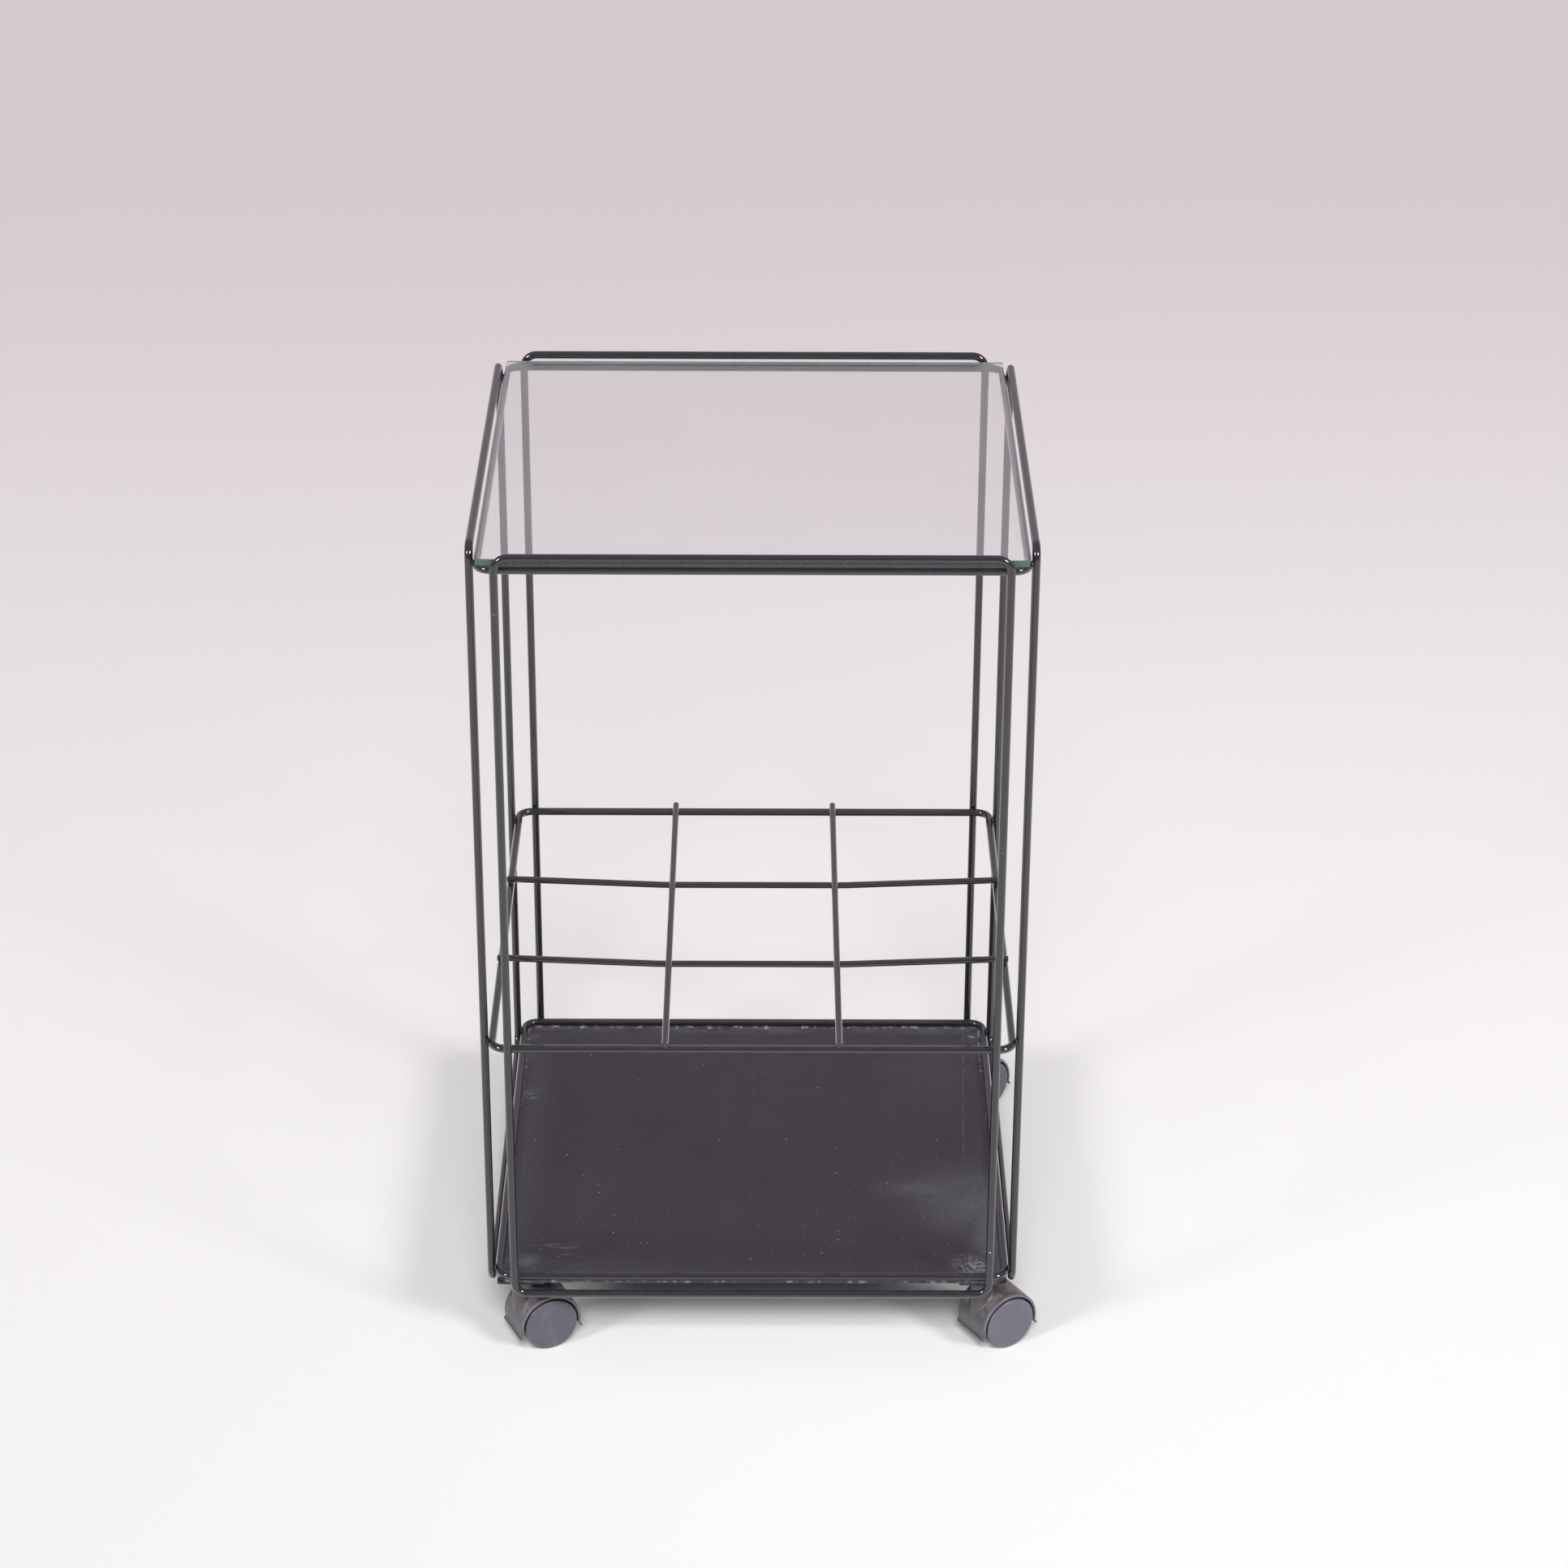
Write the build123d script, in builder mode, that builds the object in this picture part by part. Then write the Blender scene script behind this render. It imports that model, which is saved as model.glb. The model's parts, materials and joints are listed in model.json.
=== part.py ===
from build123d import *
import os
from math import cos, radians, sin, sqrt

# A square bar cart of welded wire loops and rings, with a loose glass top, a bottle rack, a sheet tray and
# four hooded twin-wheel casters. Millimetres, +Z up, the front towards -Y, origin on the floor under the centre.

# Frame
frame_width = 400.0  # over the outsides of the left and right loops
frame_depth = 400.0  # over the outsides of the front and rear loops
frame_height = 665.0  # floor to the top of the loops
wire_d = 6.0  # loops and rings
loop_bend = 10.0  # bend radius of the loops, at the wire's centre line
ring_bend = 10.5  # bend radius of the rings, at the wire's centre line
upright_inset = 2.0  # start of a ring's bend to the nearest upright's centre line
loop_drop = 12.0  # base ring's centre line down to the loops' lower rails
weld_sink = 0.3  # how far crossing wires are pressed together at a weld

# Bottle rack
rack_height = 268.0  # floor to the rack ring's centre line
rack_wire_d = 5.0
rack_cells = 3  # along each side
rack_rod_end = 1.0  # rounding of the rods' cut ends
rod_flat = 8.0  # straight run of a dipped rod beyond each rod that it passes under
rod_bend = 60.0  # gentle bend radius of the dipped rods

# Glass top
glass_t = 5.0
glass_clear = 2.0  # glass edge to the loops' rails
glass_gap = 0.3  # under the glass, above the top ring
glass_corner = 2.0
glass_arris = 0.5  # ground edge

# Tray
tray_t = 2.0
tray_margin = 1.5  # base ring's outside to the sheet's edge

# Caster plates and kingpins
caster_height = 63.0  # floor to the underside of the caster plate
plate_size = 36.0
plate_t = 2.0
plate_corner = 2.0
plate_margin = 2.0  # base ring's outside to the plate's edge
kingpin_d = 8.0
kingpin_length = 18.0  # below the shoulder
kingpin_chamfer = 0.8
spigot_d = 6.0  # riveted into the plate
shoulder_d = 13.0
shoulder_t = 1.5

# Casters
wheel_d = 42.0
wheel_edge = 1.6  # rounding of the outer rim
wheel_dome = 1.2  # crown of the outer face
wheel_proud = 1.0  # rim beyond the end of the hood
wheel_skin = 2.2  # thickness of the outer face
tread_t = 2.5
wheel_hub_d = 12.0
hood_t = 2.0
hood_width = 35.2
hood_edge = 1.2  # rounding of the hood's outer rims
hood_skirt = 8.9  # lips below the axle
hood_mouth = 3.5  # inside edge of the lips below the axle
lip_flare = 1.0  # lips beyond the barrel
lip_height = 4.9
lip_land = 1.6  # height of a lip's blunt edge
lip_draft = 0.7  # how far that edge leans in
lip_corner = 1.5  # rounding of the lips' lower corners
boss_d = 16.0
boss_inset = 0.9  # barrel's outside to the boss's outside
boss_fillet = 2.0
web_t = 5.0
web_hub_d = 14.0
axle_d = 6.0
axle_recess = 0.4  # axle end to the bottom of the wheel's bore
axle_chamfer = 0.4

# Snap rings on the kingpin and the axle
clip_t = 1.2
clip_wall = 1.3
clip_gap_deg = 40.0  # opening of the split ring
clip_height = 5.0  # kingpin's lower end to the ring's underside
pin_groove_depth = 0.8
axle_groove_depth = 0.4
axle_groove_width = 1.6
bead_width = 1.0
bead_place = 11.0  # middle of the caster to the middle of the bead

# Clearances
running_clear = 0.05  # round a shaft that turns, on the radius
snap_clear = 0.15  # round a snap ring or bead
swivel_gap = 0.3  # kingpin shoulder to boss
wheel_gap = 0.5  # web to wheel
hood_gap = 1.5  # tread to hood

# Where each caster stands and the way it trails, degrees from +X towards +Y
casters = {
    "front_left": (-1, -1, 25.0),
    "front_right": (1, -1, 32.0),
    "rear_left": (-1, 1, 28.0),
    "rear_right": (1, 1, 42.0),
}

# Places worked out from the sizes above
wire_r = wire_d / 2
loop_x = frame_width / 2 - wire_r
loop_y = frame_depth / 2 - wire_r
ring_x = loop_x - wire_d + weld_sink
ring_y = loop_y - wire_d + weld_sink
upright_x = ring_x - ring_bend - upright_inset
upright_y = ring_y - ring_bend - upright_inset
glass_z = frame_height - wire_d - glass_t
top_ring_z = glass_z - glass_gap - wire_r
tray_z = caster_height + plate_t
base_ring_z = tray_z + tray_t + wire_r
rail_top_z = frame_height - wire_r
rail_low_z = base_ring_z - loop_drop

rack_wire_r = rack_wire_d / 2
rod_z = rack_height + wire_r + rack_wire_r - weld_sink
dip_z = rod_z - rack_wire_d + weld_sink
rod_x = ring_x / rack_cells
rod_y = ring_y / rack_cells

stem_x = ring_x + wire_r - plate_margin - plate_size / 2
stem_y = ring_y + wire_r - plate_margin - plate_size / 2
shoulder_z = caster_height - shoulder_t
boss_top_z = shoulder_z - swivel_gap
kingpin_end_z = shoulder_z - kingpin_length
clip_z = kingpin_end_z + clip_height
pin_groove_r = kingpin_d / 2 - pin_groove_depth
clip_inner_r = pin_groove_r + snap_clear
clip_outer_r = clip_inner_r + clip_wall

wheel_r = wheel_d / 2
cavity_r = wheel_r + hood_gap
hood_r = cavity_r + hood_t
trail = hood_r - boss_inset - boss_d / 2  # kingpin axis to axle axis
axle_r = axle_d / 2
wheel_in = web_t / 2 + wheel_gap
wheel_rim = hood_width / 2 + wheel_proud
wheel_face_in = wheel_rim - wheel_skin
bore_end = wheel_face_in - axle_recess
axle_end = bore_end - axle_recess


def on_circle(radius, height):
    """Distance from the axis of a point on a circle, at a height above or below its centre."""
    return sqrt(radius**2 - height**2)


def keep(piece, name):
    """Names a finished piece and writes it."""
    piece.part.label = name
    export_step(piece.part, f"parts/{name}.step")


def wire_loop(name, plane, width, height, bend):
    """A closed loop of round wire, sized at its centre line."""
    half_w, half_h = width / 2, height / 2
    with BuildPart() as loop:
        with BuildLine(plane):
            corners = ((-half_w, -half_h), (half_w, -half_h), (half_w, half_h), (-half_w, half_h))
            route = FilletPolyline(*corners, radius=bend, close=True)
        with BuildSketch(Plane(origin=route @ 0, z_dir=route % 0)):
            Circle(wire_r)
        sweep(path=route)
    keep(loop, name)


def upright_loops():
    """The four loops that stand round the cart."""
    height = rail_top_z - rail_low_z
    middle_z = (rail_top_z + rail_low_z) / 2
    for name, side in (("front_loop", -1), ("rear_loop", 1)):
        plane = Plane(origin=(0, side * loop_y, middle_z), x_dir=(1, 0, 0), z_dir=(0, -1, 0))
        wire_loop(name, plane, 2 * upright_x, height, loop_bend)
    for name, side in (("left_loop", -1), ("right_loop", 1)):
        plane = Plane(origin=(side * loop_x, 0, middle_z), x_dir=(0, 1, 0), z_dir=(1, 0, 0))
        wire_loop(name, plane, 2 * upright_y, height, loop_bend)


def rings():
    """The three flat rings inside the loops."""
    for name, z in (("top_ring", top_ring_z), ("rack_ring", rack_height), ("base_ring", base_ring_z)):
        wire_loop(name, Plane.XY.offset(z), 2 * ring_x, 2 * ring_y, ring_bend)


def straight_rods():
    """The rack's two front-to-back rods, laid on top of the rack ring."""
    length = 2 * ring_y + wire_d
    for name, side in (("rack_rod_left", -1), ("rack_rod_right", 1)):
        with BuildPart() as rod:
            with BuildSketch(Plane(origin=(side * rod_x, 0, rod_z), x_dir=(1, 0, 0), z_dir=(0, 1, 0))):
                Circle(rack_wire_r)
            extrude(amount=length / 2, both=True)
            fillet(rod.edges().filter_by(GeomType.CIRCLE), rack_rod_end)
        keep(rod, name)


def dipped_rods():
    """The rack's two side-to-side rods, which lie on the ring and dip under the other two."""
    end_x = ring_x + wire_r
    seat_x = ring_x - wire_r
    low_x = rod_x + rod_flat
    half = ((seat_x, rod_z), (low_x, dip_z))
    for name, side in (("rack_rod_front", -1), ("rack_rod_rear", 1)):
        with BuildPart() as rod:
            with BuildLine(Plane(origin=(0, side * rod_y, 0), x_dir=(1, 0, 0), z_dir=(0, -1, 0))):
                left = [(-x, z) for x, z in half]
                right = list(reversed(half))
                route = FilletPolyline((-end_x, rod_z), *left, *right, (end_x, rod_z), radius=rod_bend)
            with BuildSketch(Plane(origin=route @ 0, z_dir=route % 0)):
                Circle(rack_wire_r)
            sweep(path=route)
            ends = rod.faces().filter_by(Axis.X)
            fillet(ends.edges(), rack_rod_end)
        keep(rod, name)


def tray():
    """The sheet welded under the base ring."""
    reach = wire_r - tray_margin
    with BuildPart() as sheet:
        with BuildSketch(Plane.XY.offset(tray_z)):
            RectangleRounded(2 * (ring_x + reach), 2 * (ring_y + reach), ring_bend + reach)
        extrude(amount=tray_t)
    keep(sheet, "tray")


def glass_top():
    """The loose plate that lies on the top ring, between the rails."""
    width = frame_width - 2 * (wire_d + glass_clear)
    depth = frame_depth - 2 * (wire_d + glass_clear)
    with BuildPart() as glass:
        with BuildSketch(Plane.XY.offset(glass_z)):
            RectangleRounded(width, depth, glass_corner)
        extrude(amount=glass_t)
        chamfer(glass.edges().filter_by(Axis.Z, reverse=True), glass_arris)
    keep(glass, "glass_top")


def caster_plate(name, stem):
    """The square plate welded under the tray, with the hole that the kingpin is riveted into."""
    with BuildPart() as plate:
        with BuildSketch(Plane(origin=stem.origin).offset(caster_height)):
            RectangleRounded(plate_size, plate_size, plate_corner)
            Circle(spigot_d / 2 + running_clear, mode=Mode.SUBTRACT)
        extrude(amount=plate_t)
    keep(plate, f"{name}_caster_plate")


def kingpin(name, stem):
    """The turned pin that the hood swivels on."""
    pin_r = kingpin_d / 2
    groove_low = clip_z - snap_clear
    groove_high = clip_z + clip_t + snap_clear
    upright = Plane(origin=stem.origin, x_dir=stem.x_dir, z_dir=-stem.y_dir)
    with BuildPart() as pin:
        with BuildSketch(upright):
            with BuildLine():
                Polyline(
                    (0, kingpin_end_z),
                    (pin_r - kingpin_chamfer, kingpin_end_z),
                    (pin_r, kingpin_end_z + kingpin_chamfer),
                    (pin_r, groove_low),
                    (pin_groove_r, groove_low),
                    (pin_groove_r, groove_high),
                    (pin_r, groove_high),
                    (pin_r, shoulder_z),
                    (shoulder_d / 2, shoulder_z),
                    (shoulder_d / 2, caster_height),
                    (spigot_d / 2, caster_height),
                    (spigot_d / 2, caster_height + plate_t),
                    (0, caster_height + plate_t),
                    close=True,
                )
            make_face()
        revolve(axis=Axis(stem.origin, stem.z_dir))
    keep(pin, f"{name}_kingpin")


def stem_clip(name, stem):
    """The split ring in the kingpin's groove, which keeps the hood from dropping off."""
    with BuildPart() as clip:
        with BuildSketch(stem.offset(clip_z)):
            Circle(clip_outer_r)
            Circle(clip_inner_r, mode=Mode.SUBTRACT)
            with BuildLine():
                reach = 2 * clip_outer_r
                half_gap = radians(clip_gap_deg / 2)
                edge = (reach * cos(half_gap), reach * sin(half_gap))
                Polyline((0, 0), (edge[0], -edge[1]), edge, close=True)
            make_face(mode=Mode.SUBTRACT)
        extrude(amount=clip_t)
    keep(clip, f"{name}_stem_clip")


def hood(name, stem, side):
    """The moulded body: a barrel hood over both wheels, the web between them and the boss round the kingpin."""
    lip_top = hood_skirt - lip_height
    tip_x = hood_r + lip_flare
    top_x = on_circle(hood_r, lip_top)
    mouth_x = on_circle(cavity_r, hood_mouth)
    lip = (
        (tip_x, -hood_skirt + lip_land),
        (tip_x - lip_draft, -hood_skirt),
        (mouth_x, -hood_mouth),
    )
    outline_height = hood_skirt + hood_r + 2 * lip_corner
    across = Plane(origin=side.origin, x_dir=side.z_dir, z_dir=-side.x_dir)
    with BuildPart() as body:
        with BuildSketch(side):
            with BuildLine():
                ThreePointArc((top_x, -lip_top), (0, hood_r), (-top_x, -lip_top))
                for hand in (1, -1):
                    tip = (hand * tip_x, -hood_skirt + lip_land)
                    TangentArc((hand * top_x, -lip_top), tip, tangent=(-hand * lip_top, -top_x))
                Polyline(*[(-x, y) for x, y in lip], *reversed(lip))
            make_face()
        extrude(amount=hood_width / 2, both=True)
        fillet(body.edges().filter_by(GeomType.CIRCLE), hood_edge)
        with BuildSketch(across):
            with Locations((0, outline_height / 2 - hood_skirt)):
                RectangleRounded(hood_width, outline_height, lip_corner)
        extrude(amount=2 * hood_r, both=True, mode=Mode.INTERSECT)
        with BuildSketch(stem.offset(wheel_r)):
            Circle(boss_d / 2)
        extrude(amount=boss_top_z - wheel_r)
        fillet(body.edges(Select.LAST).filter_by(GeomType.BSPLINE), boss_fillet)
        for way in (1, -1):
            with BuildSketch(side.offset(way * web_t / 2)):
                Circle(cavity_r)
            extrude(amount=way * hood_width, mode=Mode.SUBTRACT)
        with BuildSketch(side):
            Circle(web_hub_d / 2)
        extrude(amount=web_t / 2, both=True)
        with BuildSketch(side):
            Circle(axle_r + running_clear)
        extrude(amount=web_t, both=True, mode=Mode.SUBTRACT)
        with BuildSketch(stem.offset(boss_top_z)):
            Circle(kingpin_d / 2 + running_clear)
        extrude(amount=kingpin_end_z - swivel_gap - boss_top_z, mode=Mode.SUBTRACT)
        with BuildSketch(stem.offset(clip_z - snap_clear)):
            Circle(clip_outer_r + snap_clear)
        extrude(amount=clip_t + 2 * snap_clear, mode=Mode.SUBTRACT)
    keep(body, f"{name}_hood")


def axle(name, centre, along):
    """The pin through the hood's web, with a snap groove for each wheel."""
    groove_in = bead_place - axle_groove_width / 2
    groove_out = bead_place + axle_groove_width / 2
    groove_r = axle_r - axle_groove_depth
    half = (
        (groove_in, axle_r),
        (groove_in, groove_r),
        (groove_out, groove_r),
        (groove_out, axle_r),
        (axle_end - axle_chamfer, axle_r),
        (axle_end, axle_r - axle_chamfer),
        (axle_end, 0),
    )
    with BuildPart() as pin:
        with BuildSketch(along):
            with BuildLine():
                Polyline(*[(-x, r) for x, r in reversed(half)], *half, close=True)
            make_face()
        revolve(axis=Axis(centre, along.x_dir))
    keep(pin, f"{name}_axle")


def wheel(name, centre, outward):
    """One moulded wheel: tread, domed outer face and a hub with a snap bead for the axle's groove."""
    bore_r = axle_r + running_clear
    bead_r = axle_r - axle_groove_depth + snap_clear
    hub_r = wheel_hub_d / 2
    tread_in = wheel_r - tread_t
    bead_in = bead_place - bead_width / 2
    bead_out = bead_place + bead_width / 2
    with BuildPart() as disc:
        with BuildSketch(outward) as section:
            with BuildLine():
                Polyline(
                    (wheel_rim + wheel_dome, 0),
                    (bore_end, 0),
                    (bore_end, bore_r),
                    (bead_out, bore_r),
                    (bead_out, bead_r),
                    (bead_in, bead_r),
                    (bead_in, bore_r),
                    (wheel_in, bore_r),
                    (wheel_in, hub_r),
                    (wheel_face_in, hub_r),
                    (wheel_face_in, tread_in),
                    (wheel_in, tread_in),
                    (wheel_in, wheel_r),
                    (wheel_rim, wheel_r),
                )
                TangentArc((wheel_rim + wheel_dome, 0), (wheel_rim, wheel_r), tangent=(0, 1))
            make_face()
            rim = section.vertices().sort_by_distance((wheel_rim, wheel_r, 0))[0]
            fillet(rim, wheel_edge)
        revolve(axis=Axis(centre, outward.x_dir))
    keep(disc, name)


def caster(name, side_x, side_y, heading):
    """One caster: its pieces share the kingpin's plane and the axle's centre."""
    way = (cos(radians(heading)), sin(radians(heading)), 0)
    stem = Plane(origin=(side_x * stem_x, side_y * stem_y, 0), x_dir=way, z_dir=(0, 0, 1))
    centre = stem.from_local_coords((trail, 0, wheel_r))
    frontward = -stem.y_dir
    caster_plate(name, stem)
    kingpin(name, stem)
    stem_clip(name, stem)
    hood(name, stem, Plane(origin=centre, x_dir=stem.x_dir, z_dir=frontward))
    to_front = Plane(origin=centre, x_dir=frontward, z_dir=-stem.x_dir)
    to_rear = Plane(origin=centre, x_dir=stem.y_dir, z_dir=stem.x_dir)
    axle(name, centre, to_front)
    wheel(f"{name}_wheel_front", centre, to_front)
    wheel(f"{name}_wheel_rear", centre, to_rear)


os.makedirs("parts", exist_ok=True)
upright_loops()
rings()
straight_rods()
dipped_rods()
tray()
glass_top()
for caster_name, place in casters.items():
    caster(caster_name, *place)
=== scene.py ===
"""Bar cart: the finish of every surface, the weld metal between the wires, and a plain studio."""

import json
from math import cos, pi, radians, sin, sqrt

import bmesh
import bpy
from mathutils import Matrix, Vector


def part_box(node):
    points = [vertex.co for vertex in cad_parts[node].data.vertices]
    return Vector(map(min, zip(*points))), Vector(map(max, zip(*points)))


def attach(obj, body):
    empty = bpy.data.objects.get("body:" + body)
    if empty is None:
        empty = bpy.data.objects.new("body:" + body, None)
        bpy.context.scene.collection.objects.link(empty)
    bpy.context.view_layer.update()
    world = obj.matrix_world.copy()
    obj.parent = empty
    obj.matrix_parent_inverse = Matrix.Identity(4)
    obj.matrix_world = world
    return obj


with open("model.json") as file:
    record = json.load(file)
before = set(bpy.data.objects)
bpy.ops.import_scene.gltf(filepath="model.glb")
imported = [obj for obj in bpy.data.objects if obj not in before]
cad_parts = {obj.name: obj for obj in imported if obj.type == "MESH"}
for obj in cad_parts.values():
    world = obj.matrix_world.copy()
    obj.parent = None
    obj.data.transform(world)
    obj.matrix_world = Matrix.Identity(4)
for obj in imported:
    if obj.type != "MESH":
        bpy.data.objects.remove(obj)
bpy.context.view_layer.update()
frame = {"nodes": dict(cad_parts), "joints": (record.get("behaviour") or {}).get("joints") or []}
nodes = frame["nodes"]
joints = {joint["name"]: joint for joint in frame["joints"]}
corners = ("front_left", "front_right", "rear_left", "rear_right")
loops = ("front_loop", "rear_loop", "left_loop", "right_loop")
rings = ("top_ring", "rack_ring", "base_ring")
rods = ("rack_rod_left", "rack_rod_right", "rack_rod_front", "rack_rod_rear")
east, north, upward = Vector((1, 0, 0)), Vector((0, 1, 0)), Vector((0, 0, 1))
MM = 0.001

# Wires, read from the frame
loop_low, loop_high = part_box("front_loop")
wire_r = (loop_high.y - loop_low.y) / 2
loop_y = -(loop_high.y + loop_low.y) / 2
upright_x = loop_high.x - wire_r
side_low, side_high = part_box("left_loop")
loop_x = -(side_high.x + side_low.x) / 2
upright_y = side_high.y - wire_r
ring_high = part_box("top_ring")[1]
ring_x = ring_high.x - wire_r
ring_y = ring_high.y - wire_r
ring_levels = {ring: sum(end.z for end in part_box(ring)) / 2 for ring in rings}
rod_low, rod_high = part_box("rack_rod_right")
rod_r = (rod_high.x - rod_low.x) / 2
rod_x = (rod_high.x + rod_low.x) / 2
rod_z = (rod_high.z + rod_low.z) / 2
dip_low, dip_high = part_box("rack_rod_rear")
rod_y = (dip_high.y + dip_low.y) / 2
dip_z = dip_low.z + rod_r

# Weld metal
weld_gap = 1.15 * MM  # width of a fillet, from one wire to the other
weld_uneven = 0.16
weld_sides = 36
weld_inner = 0.55  # share of its radius where a fillet ends inside the wires
weld_bury = 0.25 * MM  # how far that inner end lies in the wires
weld_edge = 0.04 * MM  # how far a fillet's edges lie in the wires
weld_hollow = 0.35  # depth of its hollow face, as a share of the gap
weld_flank = (0.12, 0.18)  # how far that face comes out again, and where, as shares of the gap
weld_halvings = 40  # steps in the search for a fillet's place
weld_turn = 1.7  # radians, from one fillet's unevenness to the next one's

# Marks on the tray's top: middle and half size in metres, and strength
wiped_corner = ((0.182, -0.079), (0.085, 0.080), 0.19)
wiped_tail = ((0.142, -0.064), (0.060, 0.020), 0.15)
wiped_edge = ((0.188, -0.140), (0.030, 0.085), 0.38)
rear_veil = ((0.160, 0.110), (0.070, 0.100), 0.045)
grain_heap = ((0.170, -0.173), (0.026, 0.026), 0.50)
spilt_grains = ((0.186, -0.070), (0.042, 0.080), 1.0)
front_dust = ((-0.176, -0.166), (0.022, 0.016), 0.24)
front_scuff = ((-0.152, -0.160), (0.040, 0.030), 0.40)
side_scuff = ((-0.180, 0.070), (0.016, 0.060), 0.35)
rear_scuff = ((0.184, 0.172), (0.010, 0.014), 0.90)
rust_stain = ((-0.180, 0.186), (0.012, 0.006), 0.80)
scratch_x = 0.1676  # where the long scratch crosses the middle of the tray
scratch_slope = 0.041

# Wheels, the darker and the lighter tone that each mixes; the front right pair's tones are painted paler,
# painted light for the brighter light falling on it
wheel_tone = ((0.066, 0.065, 0.085, 1), (0.086, 0.084, 0.106, 1))
wheel_tones_painted_lighter = {"front_right": ((0.090, 0.088, 0.113, 1), (0.115, 0.112, 0.140, 1))}
wheel_marks = 9000.0  # radians of the turning marks' wave, for each metre of radius
wheel_rim = (17.5 * MM, 20.5 * MM)  # radii between which wear at the rim sets in

# Hoods: how thick the dust on their tops lies, and heights over the axle between which things set in
hood_dust = 0.55
hood_dusts = {"front_right": 1.0}
hood_top = (7 * MM, 14 * MM)  # dust from above
hood_low = (13 * MM, -1 * MM)  # dust from below
hood_lip = (-7.5 * MM, -5 * MM)  # the lips, free of it
hood_rim_highlight = (-5 * MM, 5 * MM)  # the rims, painted paler as a painted highlight
hood_lip_shade = (-7 * MM, -8.2 * MM)  # painted shade along the lips' lower edge

# Camera, fitted to the photograph of 1932 x 1932 pixels
photo_size = 1932
focal_pixels = 5071.6
camera_place = Vector((0.01038, -2.80031, 1.79566))
camera_pitch = radians(26.660)
camera_yaw = radians(0.265)
camera_roll = radians(-0.267)
sensor_width = 36.0

# Studio
floor_half = 30.0
# The floor's tones paint shade: darker at the left, and darker and pinker towards the back, where the light
# falls off.
floor_left_shade = (0.815, 0.805, 0.790, 1)
floor_right = (0.890, 0.880, 0.878, 1)
floor_far_shade = (0.585, 0.520, 0.545, 1)
floor_turn = (-0.7, 0.7)  # from the left tone to the right one, along X
floor_fade = (-0.9, 2.9)  # from the near tones to the far one, along Y
sky_front = (0.42, 0.40, 0.44, 1)
sky_rear = (0.13, 0.12, 0.135, 1)
sky_zenith = (0.10, 0.098, 0.10, 1)
shown_front = (0.24, 0.225, 0.25, 1)  # what gloss mirrors: the room, the pale backdrop and the ceiling
shown_rear = (0.42, 0.385, 0.425, 1)
shown_zenith = (0.50, 0.47, 0.51, 1)
backdrop_front = (0.98, 0.96, 0.96, 1)  # what is seen past the floor, in the floor's own tones
backdrop_rear = (0.68, 0.605, 0.640, 1)
backdrop_turn = (-0.05, 0.10)  # from the front tone to the rear one, along Y

# Lamps: degrees to the right of the camera's side, up and wide, strength, and if gloss and glass show it
softboxes = {
    "key": (0.0, 45.0, 20.0, 2.26, False),
    "softbox_left": (-52.0, 31.0, 14.0, 1.22, True),
    "softbox_right": (50.0, 32.0, 14.0, 1.62, True),
}


class Web:
    """A tree of shader nodes. Each call adds a node and hands back its output."""

    def __init__(self, tree):
        self.nodes = tree.nodes
        self.links = tree.links

    def put(self, socket, value):
        """Links an output to a socket, or sets a plain value on it."""
        if isinstance(value, bpy.types.NodeSocket):
            self.links.new(value, socket)
        else:
            socket.default_value = value

    def math(self, operation, first, second=0.0, third=0.0):
        node = self.nodes.new("ShaderNodeMath")
        node.operation = operation
        for socket, value in zip(node.inputs, (first, second, third)):
            self.put(socket, value)
        return node.outputs[0]

    def product(self, *values):
        result = values[0]
        for value in values[1:]:
            result = self.math("MULTIPLY", result, value)
        return result

    def most(self, *values):
        """The greatest of some numbers."""
        result = values[0]
        for value in values[1:]:
            result = self.math("MAXIMUM", result, value)
        return result

    def vector(self, operation, first, second=(0, 0, 0)):
        """A vector sum; the answer is a vector, or a number for a dot product or a length."""
        node = self.nodes.new("ShaderNodeVectorMath")
        node.operation = operation
        self.put(node.inputs[0], first)
        self.put(node.inputs[1], second)
        return node.outputs["Value" if operation in ("DOT_PRODUCT", "LENGTH") else "Vector"]

    def axes(self, vector):
        node = self.nodes.new("ShaderNodeSeparateXYZ")
        self.put(node.inputs[0], vector)
        return node.outputs

    def between(self, value, low, high, out_low=0.0, out_high=1.0):
        """A smooth step from out_low to out_high as value goes from low to high."""
        node = self.nodes.new("ShaderNodeMapRange")
        node.interpolation_type = "SMOOTHSTEP"
        for socket, number in zip(node.inputs, (value, low, high, out_low, out_high)):
            self.put(socket, number)
        return node.outputs[0]

    def mixed(self, amount, first, second):
        """One colour laid over another."""
        node = self.nodes.new("ShaderNodeMix")
        node.data_type = "RGBA"
        self.put(node.inputs[0], amount)
        self.put(node.inputs[6], first)
        self.put(node.inputs[7], second)
        return node.outputs[2]


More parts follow.
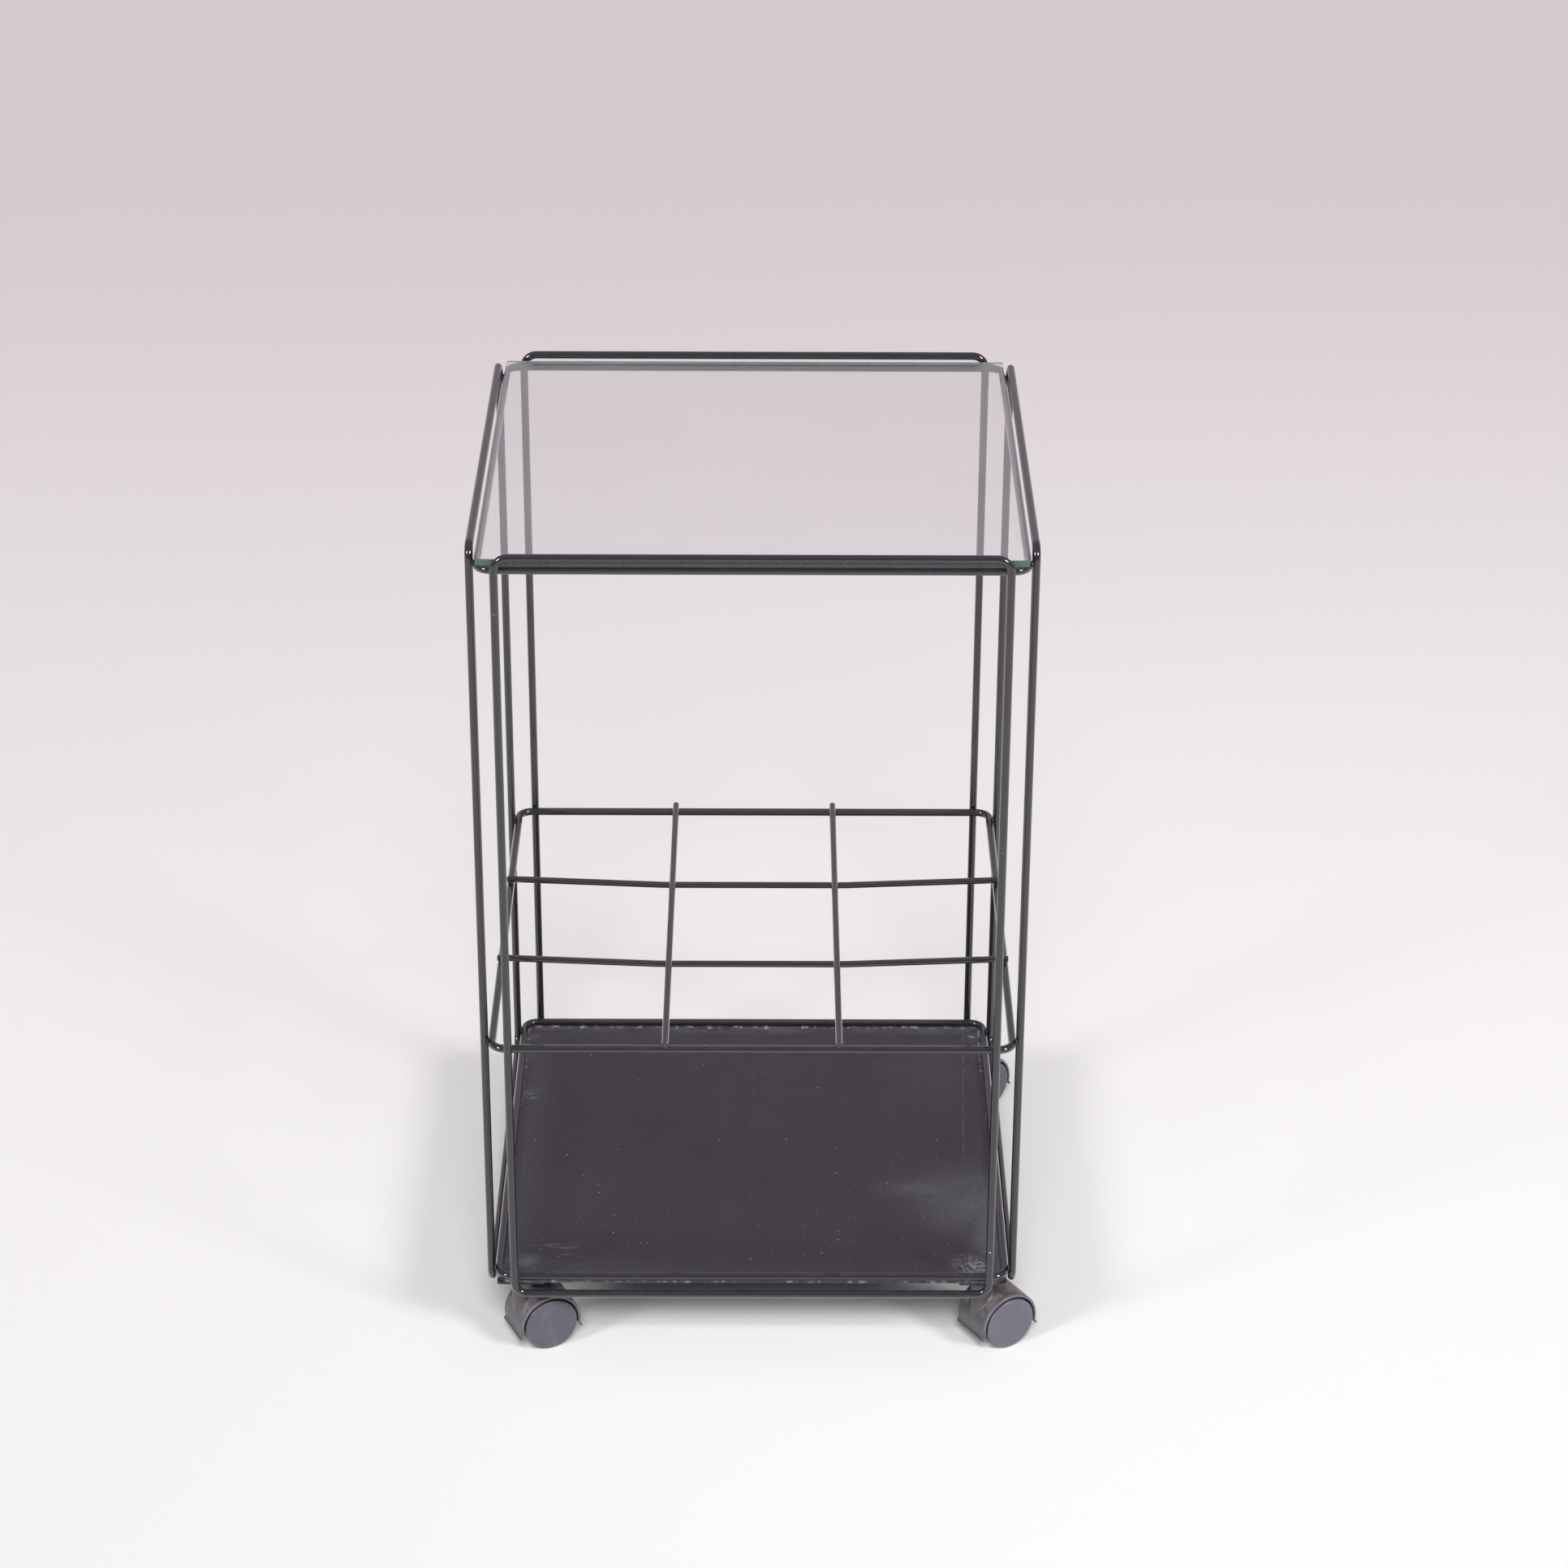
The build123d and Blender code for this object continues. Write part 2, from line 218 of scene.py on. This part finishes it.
class Finish(Web):
    """A procedural material."""

    def __init__(self, name):
        self.material = bpy.data.materials.new(name)
        self.material.use_nodes = True
        super().__init__(self.material.node_tree)
        self.shader = self.nodes["Principled BSDF"]
        self.output = self.nodes["Material Output"]
        coordinates = self.nodes.new("ShaderNodeTexCoord")
        self.place = coordinates.outputs["Object"]
        self.facing = coordinates.outputs["Normal"]

    def noise(self, scale, detail=2.0, roughness=0.5, stretch=None):
        """Noise of about 1 / scale metres, from 0 to 1."""
        node = self.nodes.new("ShaderNodeTexNoise")
        place = self.place if stretch is None else self.vector("MULTIPLY", self.place, stretch)
        self.put(node.inputs["Vector"], place)
        node.inputs["Scale"].default_value = scale
        node.inputs["Detail"].default_value = detail
        node.inputs["Roughness"].default_value = roughness
        return node.outputs[0]

    def specks(self, scale, size, share, spread="3D"):
        """Separate spots: size is a share of the cells' width, and share of the cells have one."""
        node = self.nodes.new("ShaderNodeTexVoronoi")
        node.voronoi_dimensions = spread
        self.put(node.inputs["Vector"], self.place)
        node.inputs["Scale"].default_value = scale
        pick, bright, _ = self.axes(node.outputs["Color"])
        spot = self.between(node.outputs["Distance"], size, size * 0.4)
        spot = self.product(spot, self.math("GREATER_THAN", pick, 1 - share))
        return self.product(spot, self.between(bright, -0.2, 0.9, 0.1, 1.0))

    def bump(self, height, distance, under=None):
        node = self.nodes.new("ShaderNodeBump")
        node.inputs["Distance"].default_value = distance
        self.put(node.inputs["Height"], height)
        if under is not None:
            self.put(node.inputs["Normal"], under)
        return node.outputs[0]

    def surface(self, **values):
        """Sets the shader's sockets, named in lower case with underscores."""
        for name, value in values.items():
            title = name.replace("_", " ").title().replace("Ior", "IOR")
            self.put(self.shader.inputs[title], value)
        return self.material


def wire_paint():
    """Gloss black lacquer on wire: a faint orange peel, a little dust on what faces up, a few pale chips."""
    f = Finish("wire_paint")
    tone = f.mixed(f.noise(7.0, 3.0), (0.0058, 0.0046, 0.0080, 1), (0.0095, 0.0078, 0.0122, 1))
    up = f.between(f.axes(f.facing)[2], 0.25, 0.95)
    dust = f.product(up, f.between(f.noise(240.0, 4.0, 0.6), 0.45, 0.80), 0.05)
    colour = f.mixed(dust, tone, (0.34, 0.32, 0.30, 1))
    grit = f.specks(420.0, 0.16, 0.02)
    colour = f.mixed(f.product(grit, 0.35), colour, (0.36, 0.34, 0.32, 1))
    chips = f.specks(95.0, 0.08, 0.035)
    colour = f.mixed(chips, colour, (0.60, 0.58, 0.55, 1))
    rough = f.between(f.noise(60.0, 3.0), 0.3, 0.75, 0.10, 0.15)
    rough = f.math("ADD", rough, f.product(dust, 0.8))
    peel = f.bump(f.noise(420.0, 2.0), 0.006 * MM)
    relief = f.bump(f.math("SUBTRACT", grit, chips), 0.03 * MM, peel)
    return f.surface(base_color=colour, roughness=rough, normal=relief, coat_weight=1.0, coat_roughness=0.08)


class TrayPaint(Finish):
    """Satin black paint on the sheet, with the dust, scuffs and specks that lie on it."""

    def __init__(self):
        super().__init__("tray_paint")
        self.x, self.y, _ = self.axes(self.place)
        reach = self.most(self.math("ABSOLUTE", self.x), self.math("ABSOLUTE", self.y))
        self.from_ring = self.math("SUBTRACT", ring_x - wire_r, reach)
        self.grit = self.between(self.noise(620.0, 3.0, 0.65), 0.28, 0.80, 0.35, 1.0)

    def patch(self, mark):
        """A soft oval, at full strength at its middle and 0 at its edge."""
        (middle_x, middle_y), (half_x, half_y), strength = mark
        across = self.math("DIVIDE", self.math("SUBTRACT", self.x, middle_x), half_x)
        along = self.math("DIVIDE", self.math("SUBTRACT", self.y, middle_y), half_y)
        square = self.math("ADD", self.product(across, across), self.product(along, along))
        return self.between(self.math("SQRT", square), 1.0, 0.0, 0.0, strength)

    def tone(self):
        """The paint itself: faintly cloudy, brushed from front to back, darker at the front."""
        tone = self.mixed(self.noise(5.0, 4.0, 0.6), (0.033, 0.0275, 0.0365, 1), (0.041, 0.0345, 0.0445, 1))
        brush = self.noise(30.0, 3.0, 0.55, (1.0, 0.08, 1.0))
        tone = self.mixed(self.between(brush, 0.45, 0.8, 0.0, 0.30), tone, (0.052, 0.0455, 0.056, 1))
        return self.mixed(self.between(self.y, -0.09, -0.17, 0.0, 0.45), tone, (0.024, 0.0205, 0.026, 1))

    def seam(self):
        """Crumbs of dust against the inside of the ring, most at the back."""
        rear = self.between(self.y, 0.05, 0.18, 0.18, 1.0)
        ends = self.most(rear, self.between(self.y, -0.16, -0.18, 0.18, 0.45))
        crumbs = self.between(self.noise(150.0, 4.0, 0.7), 0.47, 0.66)
        dashes = self.between(self.noise(22.0, 3.0, 0.6), 0.28, 0.50)
        close = self.between(self.from_ring, 3.4 * MM, 0.8 * MM, 0.0, 0.80)
        return self.product(close, dashes, crumbs, ends)

    def haze(self):
        """Thin dust along the ring, most at the left, thicker at the back and in the front left corner."""
        leftward = self.between(self.x, 0.05, -0.16, 0.35, 1.0)
        film = self.product(self.between(self.from_ring, 34 * MM, 2 * MM, 0.0, 0.055), leftward)
        swept = self.between(self.noise(60.0, 4.0, 0.65, (0.4, 1.0, 1.0)), 0.35, 0.65, 0.25, 1.0)
        close = self.between(self.from_ring, 16 * MM, 3 * MM, 0.0, 0.17)
        drift = self.product(close, self.between(self.y, 0.10, 0.17), swept)
        return self.product(self.most(film, drift, self.patch(front_dust)), self.grit)

    def wiped(self):
        """The wiped, dusty patches at the right, with a heap of grains at the front and others spilt."""
        strokes = self.between(self.noise(34.0, 3.0, 0.6, (0.35, 1.0, 1.0)), 0.25, 0.75, 0.55, 1.0)
        patches = self.most(*map(self.patch, (wiped_corner, wiped_tail, wiped_edge, rear_veil)))
        grains = self.between(self.noise(340.0, 4.0, 0.7), 0.40, 0.66)
        heap = self.product(self.patch(grain_heap), grains)
        along_ring = self.between(self.from_ring, 9 * MM, 2 * MM, 0.0, 0.6)
        spilt = self.most(self.patch(spilt_grains), along_ring)
        rightward = self.between(self.x, 0.0, 0.16, 0.45, 1.0)
        spilt = self.product(spilt, self.specks(430.0, 0.34, 0.42, "2D"), rightward, 0.36)
        return self.most(self.product(patches, strokes, self.grit), heap, spilt)

    def scuffs(self):
        """Short strokes from side to side."""
        strokes = self.between(self.noise(120.0, 4.0, 0.7, (0.25, 1.0, 1.0)), 0.52, 0.74)
        return self.product(self.most(*map(self.patch, (front_scuff, side_scuff, rear_scuff))), strokes)

    def scratch(self):
        """One long scratch from the middle to the back."""
        line = self.math("MULTIPLY_ADD", self.y, scratch_slope, scratch_x)
        thin = self.between(self.math("ABSOLUTE", self.math("SUBTRACT", self.x, line)), 0.7 * MM, 0.1 * MM)
        broken = self.between(self.noise(70.0, 3.0), 0.35, 0.65, 0.0, 0.20)
        return self.product(thin, self.between(self.y, -0.06, 0.03), broken)

    def finished(self):
        """All of it together."""
        seam, scratch = self.seam(), self.scratch()
        stray = self.between(self.noise(14.0, 2.0), 0.38, 0.62, 0.0, 0.9)
        specks = self.product(self.specks(75.0, 0.060, 0.12, "2D"), stray)
        spread = self.between(self.noise(9.0, 2.0), 0.35, 0.6, 0.3, 1.0)
        fine = self.product(self.specks(200.0, 0.13, 0.05, "2D"), spread, 0.42)
        marks = self.most(seam, self.haze(), self.wiped(), self.scuffs(), scratch, specks, fine)
        colour = self.mixed(marks, self.tone(), (0.45, 0.45, 0.49, 1))
        stain = self.product(self.patch(rust_stain), self.between(self.noise(200.0, 3.0), 0.4, 0.6))
        colour = self.mixed(stain, colour, (0.16, 0.045, 0.030, 1))
        rough = self.between(self.noise(22.0, 4.0, 0.6), 0.3, 0.7, 0.40, 0.50)
        rough = self.math("ADD", rough, self.product(marks, 0.4))
        grain = self.bump(self.noise(1100.0, 2.0), 0.006 * MM)
        raised = self.math("ADD", specks, self.math("SUBTRACT", seam, scratch))
        relief = self.bump(raised, 0.06 * MM, grain)
        return self.surface(base_color=colour, roughness=rough, normal=relief, specular_ior_level=0.25)


def plate_paint():
    """Thin black paint on the caster plates, rubbed and a little rusty."""
    f = Finish("plate_paint")
    tone = f.mixed(f.noise(60.0, 4.0), (0.014, 0.014, 0.015, 1), (0.036, 0.034, 0.033, 1))
    rust = f.between(f.noise(130.0, 5.0, 0.7), 0.58, 0.74, 0.0, 0.5)
    colour = f.mixed(rust, tone, (0.10, 0.045, 0.022, 1))
    rough = f.between(f.noise(90.0, 3.0), 0.3, 0.7, 0.34, 0.48)
    rough = f.math("ADD", rough, f.product(rust, 0.4))
    return f.surface(base_color=colour, roughness=rough, normal=f.bump(f.noise(500.0, 3.0), 0.012 * MM))


def turned_steel():
    """Zinc-plated steel with fine turning marks."""
    f = Finish("turned_steel")
    marks = f.noise(400.0, 3.0, 0.6, (1, 1, 8))
    tone = f.mixed(marks, (0.42, 0.42, 0.43, 1), (0.66, 0.65, 0.63, 1))
    tone = f.mixed(f.between(f.noise(90.0, 4.0), 0.55, 0.75, 0.0, 0.5), tone, (0.20, 0.17, 0.14, 1))
    rough = f.between(marks, 0.3, 0.7, 0.22, 0.42)
    return f.surface(base_color=tone, metallic=1.0, roughness=rough, normal=f.bump(marks, 0.01 * MM))


class CasterPlastic(Finish):
    """Moulded plastic on one caster.

    along is how far a point lies from the caster's middle, along the axle. radius is how far it lies from the
    axle's line, and rise is its height over the axle."""

    def __init__(self, corner, name):
        super().__init__(f"{corner}_{name}")
        joint = joints[f"{corner}_wheel_front_spin"]
        self.middle, self.axis = tuple(joint["pos_m"]), tuple(joint["axis"])
        spoke = self.vector("SUBTRACT", self.place, self.middle)
        reach = self.vector("DOT_PRODUCT", spoke, self.axis)
        square = self.math("SUBTRACT", self.vector("DOT_PRODUCT", spoke, spoke), self.product(reach, reach))
        self.along = self.math("ABSOLUTE", reach)
        self.radius = self.math("SQRT", square)
        self.rise = self.axes(spoke)[2]


def hood_plastic(corner):
    """Moulded black plastic, satin with a glossier rim, brown dust on top and a little grey dust low down;
    the rims are painted paler as a painted highlight, and the lips' lower edge dark as painted shade.
    """
    f = CasterPlastic(corner, "hood_plastic")
    hood = nodes[f"{corner}_hood"].data.vertices
    end = max(abs((vertex.co - Vector(f.middle)).dot(Vector(f.axis))) for vertex in hood)
    up = f.axes(f.facing)[2]
    tone = f.mixed(f.noise(40.0, 4.0), (0.060, 0.057, 0.063, 1), (0.084, 0.080, 0.087, 1))

    # Grey dust low down, and rubbed places
    low = f.product(f.between(f.rise, *hood_low), f.between(f.rise, *hood_lip))
    dust = f.product(low, f.between(f.noise(150.0, 5.0, 0.7), 0.4, 0.75), 0.10)
    rub = f.between(f.noise(260.0, 3.0, 0.6, (1.0, 1.0, 0.2)), 0.62, 0.78, 0.0, 0.08)
    colour = f.mixed(f.most(dust, rub), tone, (0.30, 0.28, 0.28, 1))

    # Brown dust on the top of the barrel, and streaks of it round the foot of the stem
    barrel = f.between(f.along, end - 0.6 * MM, end - 1.7 * MM)
    top = f.product(barrel, f.between(f.rise, *hood_top))
    cloud = f.between(f.noise(70.0, 4.0, 0.65), 0.36, 0.72, 0.0, hood_dusts.get(corner, hood_dust))
    settled = f.product(f.between(up, 0.40, 0.92), top, cloud)
    stem = tuple(joints[f"{corner}_swivel"]["pos_m"])
    from_stem = f.vector("MULTIPLY", f.vector("SUBTRACT", f.place, stem), (1, 1, 0))
    foot = f.product(f.between(f.vector("LENGTH", from_stem), 20 * MM, 11 * MM), f.between(up, 0.1, 0.6))
    streak = f.between(f.noise(130.0, 3.0, 0.6, (1.0, 1.0, 0.3)), 0.40, 0.62, 0.0, 0.7)
    settled = f.most(settled, f.product(foot, streak, top))
    colour = f.mixed(settled, colour, (0.250, 0.200, 0.205, 1))

    # Painted highlight: the rim at each end painted paler. Painted shade: the lips' lower edge painted dark
    rim = f.product(f.math("SUBTRACT", 1.0, barrel), f.between(f.rise, *hood_rim_highlight), 0.6)
    colour = f.mixed(rim, colour, (0.145, 0.140, 0.165, 1))
    colour = f.mixed(f.between(f.rise, *hood_lip_shade), colour, (0.012, 0.011, 0.012, 1))

    rough = f.between(f.noise(90.0, 4.0), 0.3, 0.7, 0.20, 0.28)
    rough = f.math("ADD", rough, f.product(barrel, 0.09))
    rough = f.math("ADD", rough, f.product(f.most(dust, settled), 0.4))
    peel = f.bump(f.noise(500.0, 2.0), 0.005 * MM)
    return f.surface(base_color=colour, roughness=rough, normal=peel)


def wheel_plastic(corner):
    """Moulded satin plastic of one caster's wheels: bluish grey faces, worn rims, and treads painted near
    black as painted shade, with a little grime.
    """
    f = CasterPlastic(corner, "wheel_plastic")
    tread = f.between(f.math("ABSOLUTE", f.vector("DOT_PRODUCT", f.facing, f.axis)), 0.40, 0.12)
    # The front right pair's paler tones are painted light.
    dark, light = wheel_tones_painted_lighter.get(corner, wheel_tone)
    tone = f.mixed(f.noise(70.0, 4.0), dark, light)
    worn = f.between(f.noise(160.0, 4.0, 0.7), 0.5, 0.75, 0.0, 0.25)
    rim = f.product(f.between(f.radius, *wheel_rim), worn)
    colour = f.mixed(rim, tone, (0.24, 0.22, 0.21, 1))
    scuffs = f.between(f.noise(110.0, 3.0, 0.6, (1.0, 1.0, 0.35)), 0.52, 0.80, 0.0, 0.22)
    colour = f.mixed(scuffs, colour, (0.19, 0.19, 0.215, 1))
    # Painted shade: the treads are painted near black, for the deep shade in the slot under the hood, with a
    # little grime mixed in.
    tread_grime_and_shade = f.product(tread, f.between(f.noise(220.0, 5.0, 0.7), 0.25, 0.7, 0.85, 1.0))
    colour = f.mixed(tread_grime_and_shade, colour, (0.022, 0.021, 0.022, 1))
    rough = f.between(f.noise(120.0, 4.0), 0.3, 0.7, 0.22, 0.32)
    rough = f.math("ADD", rough, f.product(tread_grime_and_shade, 0.3))
    turned = f.bump(f.math("SINE", f.product(f.radius, wheel_marks)), 0.0015 * MM)
    relief = f.bump(f.math("ADD", f.noise(700.0, 2.0), tread_grime_and_shade), 0.003 * MM, turned)
    return f.surface(base_color=colour, roughness=rough, normal=relief)


def clear_glass():
    """Polished float glass, green at its ground edges, with the rear edges painted paler as a painted
    highlight, faint smears and a veil of dust.

    Lamps shine straight through it."""
    f = Finish("clear_glass")
    edge = f.between(f.math("ABSOLUTE", f.axes(f.facing)[2]), 0.6, 0.3)
    smear = f.between(f.noise(14.0, 4.0, 0.65), 0.55, 0.85, 0.0, 0.015)
    fleck = f.product(f.specks(60.0, 0.02, 0.25), 0.3)
    ground = f.between(f.noise(160.0, 3.0, 0.6), 0.3, 0.7, 0.24, 0.30)
    rough = f.most(smear, fleck, f.product(edge, ground))
    green = f.mixed(f.noise(30.0, 3.0), (0.046, 0.100, 0.080, 1), (0.059, 0.121, 0.098, 1))
    # Painted highlight: the rear edges are painted a pale green, for the bright line seen through them.
    rear = f.between(f.axes(f.facing)[1], 0.2, 0.6)
    green = f.mixed(rear, green, (0.29, 0.36, 0.345, 1))
    tone = f.mixed(edge, (0.93, 0.91, 0.93, 1), green)
    veil = f.between(f.noise(6.0, 4.0, 0.6), 0.3, 0.7, 0.026, 0.042)
    clearness = f.math("SUBTRACT", f.math("MULTIPLY_ADD", edge, -0.8, 1.0), veil)
    glass = f.surface(base_color=tone, roughness=rough, transmission_weight=clearness, ior=1.54)
    rays = f.nodes.new("ShaderNodeLightPath")
    clear = f.nodes.new("ShaderNodeBsdfTransparent")
    either = f.nodes.new("ShaderNodeMixShader")
    f.put(either.inputs[0], rays.outputs["Is Shadow Ray"])
    f.put(either.inputs[1], f.shader.outputs[0])
    f.put(either.inputs[2], clear.outputs[0])
    f.put(f.output.inputs["Surface"], either.outputs[0])
    depth = f.nodes.new("ShaderNodeVolumeAbsorption")
    depth.inputs["Color"].default_value = (0.30, 0.65, 0.53, 1)
    depth.inputs["Density"].default_value = 4.0
    f.put(f.output.inputs["Volume"], depth.outputs[0])
    return glass


def dress(material, *names):
    """Gives CAD nodes their finish."""
    for name in names:
        nodes[name].material_slots[0].material = material


def weld_reach(first_skin, second_skin, gap, limit):
    """How far from a crossing two wires have opened to a gap. Each skin is a function of the reach."""
    low, high = 0.0, limit
    for _ in range(weld_halvings):
        middle = (low + high) / 2
        if second_skin(middle) - first_skin(middle) < gap:
            low = middle
        else:
            high = middle
    return low


def weld(metal, foot, along, across, toward, radius, other_radius, spacing, turn):
    """Adds the fillet of weld metal round the spot where two wires cross.

    The first wire runs along, through foot. The second runs across, at spacing from the first in the
    direction toward. Round the spot, the fillet lies where the wires have opened to the weld's gap. It is a
    closed ring."""
    rows = []
    for step in range(weld_sides):
        angle = 2 * pi * step / weld_sides
        way = cos(angle) * along + sin(angle) * across
        gap = weld_gap * (1 + weld_uneven * (sin(2 * angle + turn) + sin(5 * angle + 2 * turn)) / 2)

        def first_skin(reach):
            return sqrt(max(radius**2 - (reach * sin(angle)) ** 2, 0.0))

        def second_skin(reach):
            return spacing - sqrt(max(other_radius**2 - (reach * cos(angle)) ** 2, 0.0))

        outside = weld_reach(first_skin, second_skin, gap, radius + other_radius)
        inside = weld_inner * outside
        bottom, top = first_skin(outside), second_skin(outside)
        hollow = outside - weld_hollow * gap
        flank, rise = (share * gap for share in weld_flank)
        section = [
            (outside, bottom - weld_edge),
            (hollow + flank, bottom + rise),
            (hollow, (bottom + top) / 2),
            (hollow + flank, top - rise),
            (outside, top + weld_edge),
            (inside, second_skin(inside) + weld_bury),
            (inside, first_skin(inside) - weld_bury),
        ]
        rows.append([metal.verts.new(foot + reach * way + height * toward) for reach, height in section])
    for row, following in zip(rows, rows[1:] + rows[:1]):
        for a, b, c, d in zip(row, row[1:] + row[:1], following[1:] + following[:1], following):
            metal.faces.new((a, d, c, b))


def weld_piece(name, spots, material):
    """One piece of weld metal, from a list of the spots where wires cross."""
    metal = bmesh.new()
    for number, spot in enumerate(spots):
        weld(metal, *spot, turn=weld_turn * number)
    bmesh.ops.recalc_face_normals(metal, faces=metal.faces)
    mesh = bpy.data.meshes.new(name)
    metal.to_mesh(mesh)
    metal.free()
    mesh.shade_smooth()
    piece = bpy.data.objects.new(name, mesh)
    bpy.context.scene.collection.objects.link(piece)
    piece.data.materials.append(material)
    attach(piece, "frame")


def ring_spots(level):
    """Where a ring's four bars touch the eight uprights."""
    spots = []
    for side in (-1, 1):
        for end in (-1, 1):
            foot = Vector((end * upright_x, side * ring_y, level))
            spots.append((foot, east, upward, side * north, wire_r, wire_r, loop_y - ring_y))
            foot = Vector((side * ring_x, end * upright_y, level))
            spots.append((foot, north, upward, side * east, wire_r, wire_r, loop_x - ring_x))
    return spots


def rack_spots():
    """Where the rack's rods lie on the rack ring, and on each other."""
    level = ring_levels["rack_ring"]
    spots = []
    for side in (-1, 1):
        for end in (-1, 1):
            foot = Vector((side * rod_x, end * ring_y, level))
            spots.append((foot, east, north, upward, wire_r, rod_r, rod_z - level))
            foot = Vector((end * ring_x, side * rod_y, level))
            spots.append((foot, north, east, upward, wire_r, rod_r, rod_z - level))
            foot = Vector((end * rod_x, side * rod_y, dip_z))
            spots.append((foot, east, north, upward, rod_r, rod_r, rod_z - dip_z))
    return spots


def floor():
    """A pale floor, painted darker towards the left and far darker towards the back: painted shade where the
    light falls off.
    """
    f = Finish("floor")
    x, y, _ = f.axes(f.place)
    near = f.mixed(f.between(x, *floor_turn), floor_left_shade, floor_right)
    tone = f.mixed(f.between(y, *floor_fade), near, floor_far_shade)
    f.surface(base_color=tone, roughness=0.8, specular_ior_level=0.0)
    bpy.ops.mesh.primitive_plane_add(size=2 * floor_half)
    plane = bpy.context.object
    plane.name = "floor"
    plane.data.materials.append(f.material)


def sky():
    """A dim soft surround, palest low over the front. Gloss mirrors the room instead, and past the floor the
    camera sees a pale backdrop, through the glass too."""
    world = bpy.data.worlds.new("studio")
    bpy.context.scene.world = world
    world.use_nodes = True
    w = Web(world.node_tree)
    way = w.axes(w.nodes.new("ShaderNodeTexCoord").outputs["Generated"])
    rays = w.nodes.new("ShaderNodeLightPath").outputs
    mirrored = rays["Is Glossy Ray"]
    front = w.mixed(mirrored, sky_front, shown_front)
    rear = w.mixed(mirrored, sky_rear, shown_rear)
    zenith = w.mixed(mirrored, sky_zenith, shown_zenith)
    rearward = w.math("MULTIPLY_ADD", way[1], 0.5, 0.5)
    surround = w.mixed(way[2], w.mixed(rearward, front, rear), zenith)
    seen = w.most(rays["Is Camera Ray"], rays["Is Transmission Ray"])
    backdrop = w.mixed(w.between(way[1], *backdrop_turn), backdrop_front, backdrop_rear)
    w.put(w.nodes["Background"].inputs["Color"], w.mixed(seen, surround, backdrop))


def lamps():
    """Distant softboxes round the front: a key over the camera and one far out on each side."""
    for name, (azimuth, elevation, width, strength, shown) in softboxes.items():
        light = bpy.data.lights.new(name, "SUN")
        light.angle = radians(width)
        light.energy = strength
        across, rise = radians(azimuth), radians(elevation)
        way = Vector((cos(rise) * sin(across), -cos(rise) * cos(across), sin(rise)))
        lamp = bpy.data.objects.new(name, light)
        lamp.rotation_euler = way.to_track_quat("Z", "Y").to_euler()
        lamp.visible_glossy = shown
        lamp.visible_transmission = shown
        bpy.context.scene.collection.objects.link(lamp)


def camera():
    """The photograph's camera."""
    lens = bpy.data.cameras.new("camera")
    lens.sensor_width = sensor_width
    lens.lens = sensor_width * focal_pixels / photo_size
    turn = Matrix.Rotation(-camera_yaw, 4, "Z") @ Matrix.Rotation(pi / 2 - camera_pitch, 4, "X")
    turn = turn @ Matrix.Rotation(-camera_roll, 4, "Z")
    eye = bpy.data.objects.new("camera", lens)
    eye.matrix_world = Matrix.Translation(camera_place) @ turn
    bpy.context.scene.collection.objects.link(eye)
    bpy.context.scene.camera = eye


lacquer, plate, steel = wire_paint(), plate_paint(), turned_steel()
dress(lacquer, *loops, *rings, *rods)
dress(TrayPaint().finished(), "tray")
dress(clear_glass(), "glass_top")
for corner in corners:
    dress(plate, f"{corner}_caster_plate")
    dress(steel, *(f"{corner}_{pin}" for pin in ("kingpin", "stem_clip", "axle")))
    dress(hood_plastic(corner), f"{corner}_hood")
    dress(wheel_plastic(corner), f"{corner}_wheel_front", f"{corner}_wheel_rear")

for ring, level in ring_levels.items():
    weld_piece(f"{ring}_welds", ring_spots(level), lacquer)
weld_piece("rack_welds", rack_spots(), lacquer)

floor()
sky()
lamps()
camera()
bpy.context.scene.view_settings.view_transform = "Standard"
